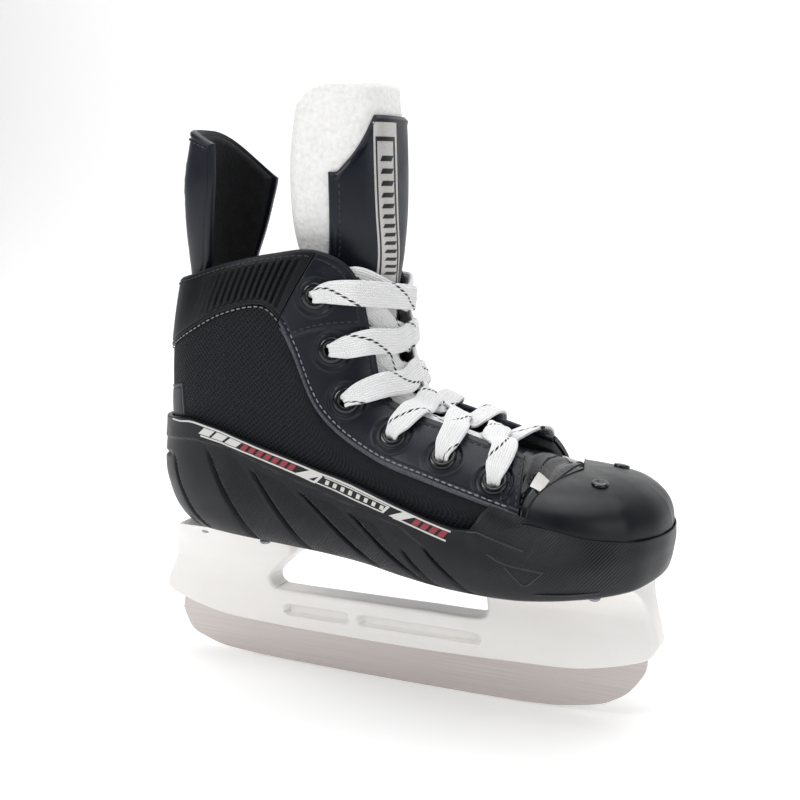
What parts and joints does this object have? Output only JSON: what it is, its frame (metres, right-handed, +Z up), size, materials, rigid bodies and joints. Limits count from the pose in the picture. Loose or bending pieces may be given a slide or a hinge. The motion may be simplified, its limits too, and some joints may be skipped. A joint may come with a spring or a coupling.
{
  "type": "ice skate",
  "caption": "Junior hockey ice skate with a moulded black shell and toe cap, laced upper, felt tongue, tendon guard, white plastic holder and steel runner.",
  "frame": {"origin": "on the ice under the middle of the runner's flat", "axes": "+X to the toe, +Y to the left side of the boot, +Z up"},
  "size_m": [0.246, 0.091, 0.2689],
  "materials": {
    "runner_steel": "brushed stainless steel, satin",
    "holder_plastic": "white moulded plastic, slightly translucent, satin",
    "shell_plastic": "black moulded plastic, semi-matte",
    "boot_vinyl": "black smooth synthetic leather, semi-matte",
    "quarter_fabric": "black textured ballistic fabric",
    "collar_rubber": "black moulded rubbery panel with ribs",
    "lining_fabric": "dark padded brushed lining",
    "guard_velvet": "black brushed velvet",
    "tongue_felt": "thick white wool felt",
    "tongue_silver": "silver reflective tape",
    "eyelet_metal": "black enamelled metal",
    "rivet_steel": "plated steel",
    "insole_plastic": "grey insole board",
    "lace_cotton": "white woven flat lace with black tracer"
  },
  "bodies": {
    "boot": {"runner": "runner_steel", "blade_holder": "holder_plastic", "outsole_shell": "shell_plastic", "toe_cap": "shell_plastic", "insole_board": "insole_plastic", "footbed": "lining_fabric", "inner_boot": "lining_fabric", "heel_counter": "boot_vinyl", "vamp": "boot_vinyl", "tongue_felt_lower": "tongue_felt", "tongue_cover_lower": "boot_vinyl", "lace": "lace_cotton", "quarter_left": "quarter_fabric", "eyestay_left": "boot_vinyl", "collar_left": "collar_rubber", "toe_rivet_left": "eyelet_metal", "eyelet_left_1": "eyelet_metal", "eyelet_left_2": "eyelet_metal", "eyelet_left_3": "eyelet_metal", "eyelet_left_4": "eyelet_metal", "eyelet_left_5": "eyelet_metal", "eyelet_left_6": "eyelet_metal", "holder_rivet_left_1": "rivet_steel", "holder_rivet_left_2": "rivet_steel", "holder_rivet_left_3": "rivet_steel", "holder_rivet_left_4": "rivet_steel", "quarter_right": "quarter_fabric", "eyestay_right": "boot_vinyl", "collar_right": "collar_rubber", "toe_rivet_right": "eyelet_metal", "eyelet_right_1": "eyelet_metal", "eyelet_right_2": "eyelet_metal", "eyelet_right_3": "eyelet_metal", "eyelet_right_4": "eyelet_metal", "eyelet_right_5": "eyelet_metal", "eyelet_right_6": "eyelet_metal", "holder_rivet_right_1": "rivet_steel", "holder_rivet_right_2": "rivet_steel", "holder_rivet_right_3": "rivet_steel", "holder_rivet_right_4": "rivet_steel"},
    "guard": {"tendon_guard": "boot_vinyl", "guard_lining": "guard_velvet"},
    "tongue_top": {"tongue_felt_upper": "tongue_felt", "tongue_cover_upper": "boot_vinyl", "tongue_strip": "tongue_silver"}
  },
  "joints": [
    {"name": "guard_flex", "type": "hinge", "parent": "boot", "child": "guard", "pos_m": [-0.1, 0, 0.184], "axis": [0, -1, 0], "range_deg": [0, 30], "stiffness_Nm_per_rad": 1},
    {"name": "tongue_flex", "type": "hinge", "parent": "boot", "child": "tongue_top", "pos_m": [0.0018, 0, 0.196], "axis": [0, 1, 0], "range_deg": [0, 28], "stiffness_Nm_per_rad": 0.5}
  ]
}
